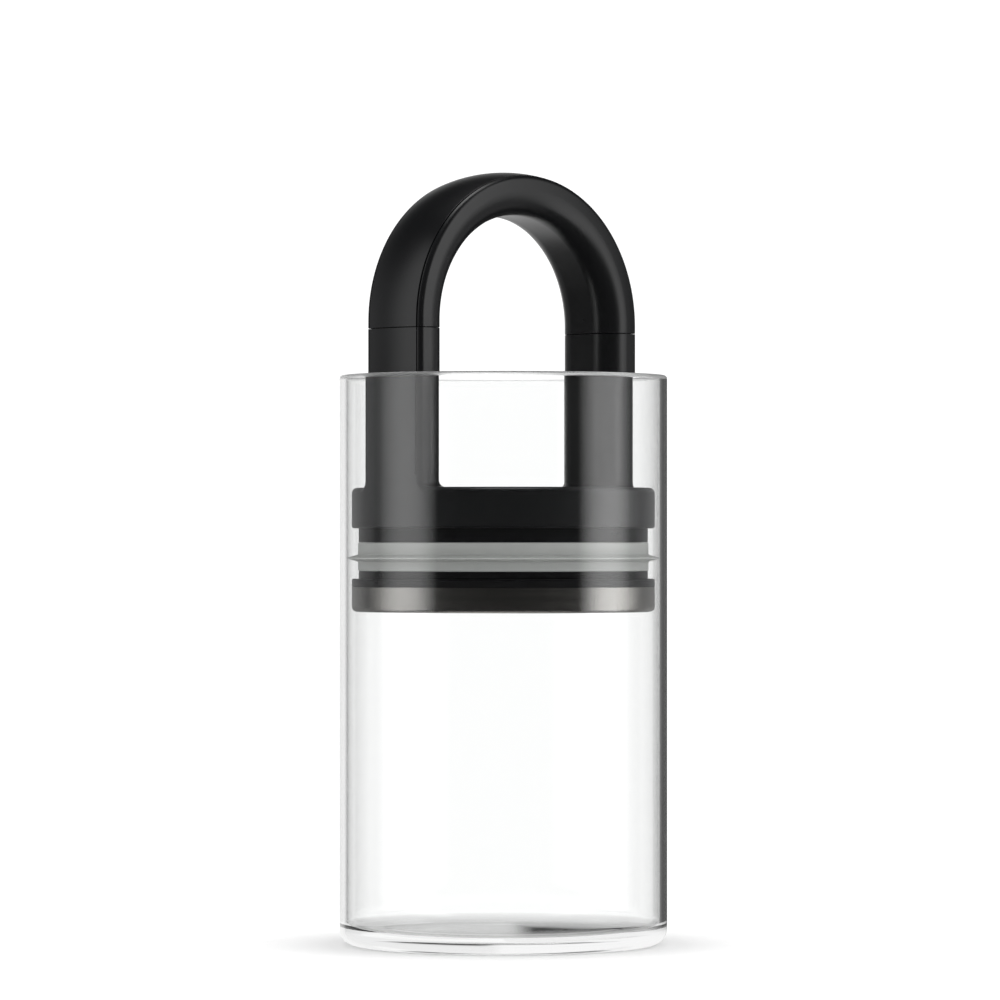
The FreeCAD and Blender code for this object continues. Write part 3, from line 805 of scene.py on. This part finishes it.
@dataclass
class Bow:
    """The arch of the handle: a hollow channel, and the band that closes it with two fine seams."""

    channel_node: str = "bow_inner_shell"
    band_node: str = "bow_outer_shell"
    straight: float = 0.0020
    wall: float = 0.0022
    edge: float = 0.00175
    grip_corner: float = 0.0077
    thickness: float = 0.0138
    seam: float = 0.0004
    lip: float = 0.00015
    end_edge: float = 0.0003
    closing: float = 0.00025
    face_steps: int = 12
    steps: int = 96

    def __post_init__(self) -> None:
        """Take the bow's reach, width and height from its solids."""
        low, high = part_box(self.channel_node)
        self.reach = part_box(self.band_node)[1].x
        self.half_width = high.y
        self.foot = low.z - self.closing
        self.straight += self.closing

    def face(self, radius: float, half_width: float) -> list[Corner]:
        """Corners along the round outer face, from its -Y edge to its +Y edge."""
        sweep = math.asin(half_width / radius)
        turns = [sweep * (2 * step / self.face_steps - 1) for step in range(self.face_steps + 1)]
        return [Corner(radius * math.cos(turn), radius * math.sin(turn)) for turn in turns]

    def rounding(self) -> list[Corner]:
        """Corners along the rounded edge between the outer face and the +Y side."""
        across = self.half_width - self.edge
        middle = Vector((math.sqrt((self.reach - self.edge) ** 2 - across ** 2), across, 0.0))
        side = Vector((middle.x, self.half_width, 0.0))
        start = middle * (self.reach / (self.reach - self.edge))
        bend = Outline.arc(middle, start, side, Outline.arc_steps)
        return [Corner(point.x, point.y, self.lip if point is bend[0] else 0.0) for point in bend]

    def slot(self) -> float:
        """Half-width of the opening that the band lies in."""
        return self.rounding()[0].other

    def channel_half(self) -> list[Corner]:
        """Corners of the channel's +Y half, from the middle of the grip side outwards and back in."""
        inner = self.reach - self.thickness
        cavity = self.half_width - self.wall
        floor = self.reach - self.wall
        slot = self.slot()
        shelf = [math.sqrt(floor ** 2 - reach ** 2) for reach in (slot, cavity)]
        return [
            Corner(inner, self.half_width, self.grip_corner),
            *reversed(self.rounding()),
            Corner(shelf[0], slot),
            Corner(shelf[1], cavity),
            Corner(inner + self.wall, cavity, self.grip_corner - self.wall),
        ]

    def sweep(self, name: str, section: Sequence[Corner]) -> bpy.types.Object:
        """Run a closed section up, over the arch and down again, and round its two ends.

        Args:
            name: Name of the piece.
            section: The section's corners in plan.

        Returns:
            The finished object.
        """
        lift = Vector((0.0, 0.0, self.foot))
        points = [point + lift for point in Outline.rounded(section, Sheet.PLAN, closed=True)]
        piece = Bench.start(name, points[0])
        Bench.draw(points)
        bpy.ops.mesh.select_all(action="SELECT")
        bpy.ops.mesh.remove_doubles(threshold=Bench.merge_distance)
        bpy.ops.mesh.edge_face_add()
        rise = Vector((0.0, 0.0, self.straight))
        bpy.ops.mesh.extrude_region_move(TRANSFORM_OT_translate={"value": rise})
        bpy.ops.mesh.spin(steps=self.steps, angle=math.pi, center=lift + rise, axis=(0.0, 1.0, 0.0))
        bpy.ops.mesh.extrude_region_move(TRANSFORM_OT_translate={"value": -rise})
        Bench.weld()
        Bench.pick(lambda place: place.z < self.foot + Bench.merge_distance)
        bpy.ops.mesh.bevel(offset=self.end_edge, segments=3, affect="EDGES")
        return Bench.finish(piece, smooth_degrees=35.0)

    def build(self) -> None:
        """Sweep the channel and the band and hand them over."""
        half = self.channel_half()
        mirrored = [Corner(corner.x, -corner.other, corner.radius) for corner in reversed(half)]
        channel = self.sweep("bow_channel", half + mirrored)
        dress(channel, HANDLE_BLACK)
        hand_over(channel, Body.BOW, Slot.BLACK, self.channel_node)
        half_band = self.slot() - self.seam
        outer, inner = self.face(self.reach, half_band), self.face(self.reach - self.wall, half_band)
        ends = {outer[0], outer[-1]}
        shown = [Corner(corner.x, corner.other, self.lip if corner in ends else 0.0) for corner in outer]
        band = self.sweep("bow_band", shown + inner[::-1])
        dress(band, HANDLE_BLACK)
        hand_over(band, Body.BOW, Slot.BLACK, self.band_node)


@dataclass
class Spring:
    """A coil spring, rebuilt from a merged copy of its solid's coils."""

    node: str
    body: Body
    joint: str
    travel: float

    def build(self) -> None:
        """Merge a copy of the solid's coils, smooth and dress them, and hand them over."""
        bpy.ops.object.select_all(action="DESELECT")
        coils = bpy.data.objects.new(self.node + "_coils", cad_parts[self.node].data.copy())
        bpy.context.scene.collection.objects.link(coils)
        coils.select_set(True)
        bpy.context.view_layer.objects.active = coils
        bpy.ops.object.mode_set(mode="EDIT")
        Bench.weld()
        Bench.finish(coils, smooth_degrees=60.0)
        dress(coils, WIRE_STEEL)
        hand_over(coils, self.body, Slot.SPRING, self.node)
        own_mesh(coils)


@dataclass
class Mechanism:
    """The pieces that keep their solids: the cover, the core and what works inside them."""

    finishes: tuple[tuple[Finish, tuple[str, ...]], ...] = (
        (HANDLE_BLACK, ("lid_cover",)),
        (CORE_BLACK, ("piston_core", "vent_fitting", "guide_foot_right", "guide_foot_left")),
        (GASKET_GREY, ("pan_gasket", "valve_disc")),
        (YOKE_WHITE, ("release_yoke", "valve_stem", "vent_nut")),
        (SCREW_STEEL, ("cover_screws", "stem_clip", "rod_nuts", "lift_rod_right", "lift_rod_left")),
    )

    def build(self) -> None:
        """Dress every solid that stays."""
        for finish, names in self.finishes:
            for name in names:
                dress(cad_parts[name], finish)
                LOG.info("%s keeps its solid in %s", name, finish.name)


@dataclass(frozen=True)
class Softbox:
    """A rectangular lamp, placed from the jar's foot by the camera's directions.

    Attributes:
        name: The lamp's name.
        ahead: How far its middle is towards the camera.
        across: How far its middle is to the camera's right.
        height: How high its middle is.
        aim: Height of the point that it faces, straight ahead of the axis.
        size: Its width and height.
        radiance: How bright its middle is, where 1 is white.
    """

    name: str
    ahead: float
    across: float
    height: float
    aim: float
    size: tuple[float, float]
    radiance: float


@dataclass
class Studio:
    """White backdrop, pale floor, two side softboxes, a top light and the camera."""

    softboxes: tuple[Softbox, ...] = (
        Softbox("left_softbox", 0.115, -0.22, 0.226, 0.226, (0.23, 0.45), 1.45),
        Softbox("right_softbox", 0.085, 0.22, 0.226, 0.226, (0.20, 0.45), 2.1),
        Softbox("top_softbox", 0.0, 0.0, 0.8, 0.2, (0.45, 0.4), 4.0),
    )
    half: float = 0.5
    rim_slope: float = 3.0
    rim_blend: float = 0.6
    looking: tuple[Ray, ...] = (Ray.CAMERA, Ray.GLOSSY, Ray.TRANSMISSION)
    azimuth: float = -42.5
    distance: float = 1.8
    frame_width: float = 0.31756
    eye_height: float = 0.1286
    axis_pixel: float = 503.3
    foot_pixel: float = 944.0
    image_pixels: float = 1000.0
    sensor: float = 36.0
    floor_size: float = 0.5
    floor_drop: float = 0.0002
    floor_grey: Colour = (0.80, 0.80, 0.80, 1.0)
    floor_fade: tuple[float, float] = (0.056, 0.10)
    floor_glow: tuple[float, float] = (0.055, 0.13)
    glow_level: float = 0.9
    room_ring: tuple[tuple[float, float], ...] = (
        (0.0, 0.02), (98.0, 0.02), (108.0, 0.28), (146.0, 0.28), (152.0, 0.05), (176.0, 0.05), (179.0, 1.0),
        (208.0, 1.0), (214.0, 0.28), (252.0, 0.28), (262.0, 0.02), (360.0, 0.02),
    )
    room_top: tuple[float, float] = (-0.50, -0.15)
    fill: float = 0.85
    white: float = 1.15
    view_end: float = 100.0

    def toward(self, degrees: float) -> Vector:
        """Level direction at an angle from the camera's side, turned towards its right."""
        turn = math.radians(self.azimuth + degrees)
        return Vector((math.sin(turn), -math.cos(turn), 0.0))

    def camera(self) -> None:
        """Stand the camera where the whole object has its place in the frame."""
        pixel = self.frame_width / self.image_pixels
        lens = bpy.data.cameras.new("camera")
        lens.sensor_width = self.sensor
        lens.lens = self.sensor * self.distance / self.frame_width
        centre = self.image_pixels / 2
        lens.shift_x = (centre - self.axis_pixel) / self.image_pixels
        lens.shift_y = ((self.foot_pixel - centre) * pixel - self.eye_height) / self.frame_width
        lens.clip_end = self.view_end
        camera = bpy.data.objects.new("camera", lens)
        camera.location = self.toward(0.0) * self.distance + Vector((0.0, 0.0, self.eye_height))
        camera.rotation_euler = (math.radians(90.0), 0.0, math.radians(self.azimuth))
        bpy.context.scene.collection.objects.link(camera)
        bpy.context.scene.camera = camera

    def plane(self, name: str, finish: str, size: float,
              **where: Sequence[float]) -> tuple[bpy.types.Object, NodeTree]:
        """Lay a plane with a material of its own.

        Args:
            name: The plane's name.
            finish: The material's name.
            size: Length of its sides.
            **where: Location and rotation.

        Returns:
            The plane, and its material's empty nodes.
        """
        bpy.ops.object.select_all(action="DESELECT")
        bpy.ops.mesh.primitive_plane_add(size=size, **where)
        plane = bpy.context.object
        plane.name = name
        material = bpy.data.materials.new(finish)
        material.use_nodes = True
        plane.data.materials.append(material)
        return plane, NodeTree(material.node_tree)

    def lamp(self, box: Softbox) -> None:
        """Hang a softbox that the camera doesn't see, brightest in its middle."""
        light = bpy.data.lights.new(box.name, "AREA")
        light.shape = "RECTANGLE"
        light.size, light.size_y = box.size
        light.energy = box.radiance * math.pi * box.size[0] * box.size[1]
        light.use_nodes = True
        nodes = NodeTree(light.node_tree)
        spot = nodes.add("ShaderNodeNewGeometry").outputs["Parametric"]
        across = nodes.add("ShaderNodeSeparateXYZ", Vector=spot).outputs["X"]
        glow = nodes.add("ShaderNodeEmission", Strength=self.soft(nodes, across))
        nodes.add("ShaderNodeOutputLight", Surface=glow.outputs["Emission"])
        ahead = self.toward(0.0) * box.ahead
        place = ahead + self.toward(90.0) * box.across + Vector((0.0, 0.0, box.height))
        aim = ahead + Vector((0.0, 0.0, box.aim))
        lamp = bpy.data.objects.new(box.name, light)
        lamp.location = place
        lamp.rotation_euler = (aim - place).to_track_quat("-Z", "Y").to_euler()
        lamp.visible_camera = False
        lamp.visible_transmission = False
        bpy.context.scene.collection.objects.link(lamp)
        self.card(lamp, box)

    def soft(self, nodes: NodeTree, across: Socket) -> Socket:
        """A softbox's level across its width, from 0 at both sides to 1 in the middle."""
        edge = nodes.math("PINGPONG", across, self.half)
        return nodes.math("SMOOTH_MIN", nodes.math("MULTIPLY", edge, self.rim_slope), 1.0, self.rim_blend)

    def card(self, lamp: bpy.types.Object, box: Softbox) -> None:
        """Stand in for a lamp, which the glass doesn't show, in what the pieces inside mirror.

        Args:
            lamp: The lamp, already in its place.
            box: What it was made from.
        """
        name = box.name + "_card"
        card, nodes = self.plane(name, name, 1.0, location=lamp.location, rotation=lamp.rotation_euler)
        card.scale = (*box.size, 1.0)
        place = nodes.add("ShaderNodeSeparateXYZ", Vector=nodes.add("ShaderNodeTexCoord").outputs["Object"])
        level = self.soft(nodes, nodes.math("ADD", place.outputs["X"], self.half))
        glow = nodes.add("ShaderNodeEmission", Strength=nodes.math("MULTIPLY", level, box.radiance))
        bounced = nodes.math("MINIMUM", self.seen(nodes, (Ray.MIRRORED, Ray.SCATTERED)), 1.0)
        # A lamp shines along -Z, which is the back of the plane.
        front = nodes.add("ShaderNodeNewGeometry").outputs["Backfacing"]
        clear = nodes.add("ShaderNodeBsdfTransparent").outputs["BSDF"]
        surface = nodes.blend(nodes.math("MULTIPLY", bounced, front), clear, glow.outputs["Emission"])
        nodes.add("ShaderNodeOutputMaterial", Surface=surface)
        card.visible_camera = False
        card.visible_diffuse = False
        card.visible_glossy = False
        card.visible_shadow = False

    def seen(self, nodes: NodeTree, rays: Sequence[Ray]) -> Socket:
        """One for the rays that are named, and zero for the others."""
        path = nodes.add("ShaderNodeLightPath")
        total = path.outputs[rays[0].value]
        for ray in rays[1:]:
            total = nodes.math("MAXIMUM", total, path.outputs[ray.value])
        return total

    def mirrored(self, nodes: NodeTree) -> Socket:
        """One for the rays that come off a shiny surface, also after they pass the glass again."""
        return nodes.math("MINIMUM", self.seen(nodes, (Ray.MIRRORED,)), 1.0)

    def room(self, nodes: NodeTree) -> Socket:
        """What a shiny surface sees: panels round the object by their angle, which end at a low height."""
        incoming = nodes.add("ShaderNodeNewGeometry").outputs["Incoming"]
        shares = []
        for degrees in (90.0, 0.0):
            share = nodes.add("ShaderNodeVectorMath", operation="DOT_PRODUCT")
            nodes.join(incoming, share.inputs[0])
            share.inputs[1].default_value = self.toward(degrees)
            shares.append(share.outputs["Value"])
        turn = nodes.math("MULTIPLY_ADD", nodes.math("ARCTAN2", *shares), 1 / math.tau, 0.5)
        ring = nodes.add("ShaderNodeValToRGB", Fac=turn)
        stops = ring.color_ramp.elements
        for degrees, _ in self.room_ring[1:-1]:
            stops.new(degrees / 360)
        for stop, (_, level) in zip(stops, self.room_ring):
            stop.color = (level, level, level, 1.0)
        fall = nodes.add("ShaderNodeSeparateXYZ", Vector=incoming).outputs["Z"]
        low = nodes.remap(fall, self.room_top, (0.0, 1.0))
        return nodes.math("MULTIPLY", ring.outputs["Color"], low)

    def backdrop(self) -> None:
        """White all round for the camera and what the glass shows, and soft grey as a lamp."""
        world = bpy.data.worlds.new("backdrop")
        bpy.context.scene.world = world
        world.use_nodes = True
        nodes = NodeTree(world.node_tree)
        mirrored = self.mirrored(nodes)
        plain = nodes.math("MULTIPLY", self.seen(nodes, self.looking), self.white)
        shown = nodes.math("MAXIMUM", plain, self.fill)
        direct = nodes.math("MULTIPLY", shown, nodes.math("SUBTRACT", 1.0, mirrored))
        strength = nodes.math("MULTIPLY_ADD", mirrored, self.room(nodes), direct)
        light = nodes.add("ShaderNodeBackground", Color=(1.0, 1.0, 1.0, 1.0), Strength=strength)
        nodes.add("ShaderNodeOutputWorld", Surface=light.outputs["Background"])

    def floor(self) -> None:
        """Pale floor that takes the jar's shadow and turns plain white further out."""
        ground, nodes = self.plane("floor", "pale_floor", self.floor_size,
                                   location=(0.0, 0.0, -self.floor_drop))
        place = nodes.add("ShaderNodeTexCoord").outputs["Object"]
        reach = nodes.add("ShaderNodeVectorMath", operation="LENGTH")
        nodes.join(place, reach.inputs[0])
        far = nodes.remap(reach.outputs["Value"], self.floor_fade, (0.0, 1.0))
        near = nodes.remap(reach.outputs["Value"], self.floor_glow, (self.glow_level, 0.0))
        glow = nodes.math("MAXIMUM", near, self.room(nodes))
        mirrored = self.mirrored(nodes)
        direct = nodes.math("SUBTRACT", self.seen(nodes, self.looking), mirrored)
        matt = nodes.add("ShaderNodeBsdfDiffuse", Color=self.floor_grey)
        change = nodes.math("SUBTRACT", glow, self.white)
        strength = nodes.math("MULTIPLY_ADD", mirrored, change, self.white)
        white = nodes.add("ShaderNodeEmission", Color=(1.0, 1.0, 1.0, 1.0), Strength=strength)
        share = nodes.math("MAXIMUM", nodes.math("MULTIPLY", far, direct), mirrored)
        surface = nodes.blend(share, matt.outputs["BSDF"], white.outputs["Emission"])
        nodes.add("ShaderNodeOutputMaterial", Surface=surface)

    def build(self) -> None:
        """Set up the studio."""
        bpy.context.scene.view_settings.view_transform = "Standard"
        self.camera()
        for box in self.softboxes:
            self.lamp(box)
        self.backdrop()
        self.floor()


def main() -> None:
    """Build every piece, dress it and set up the studio."""
    logging.basicConfig(level=logging.INFO, format="%(name)s: %(message)s")
    springs = (
        Spring("return_spring", Body.LID, "bow_lift", travel=0.003),
        Spring("valve_spring", Body.BOW, "valve_lift", travel=0.002),
    )
    for part in (GlassJar(), Bow(), Seal(), Pan(), *springs, Mechanism(), Studio()):
        part.build()


if __name__ == "__main__":
    main()
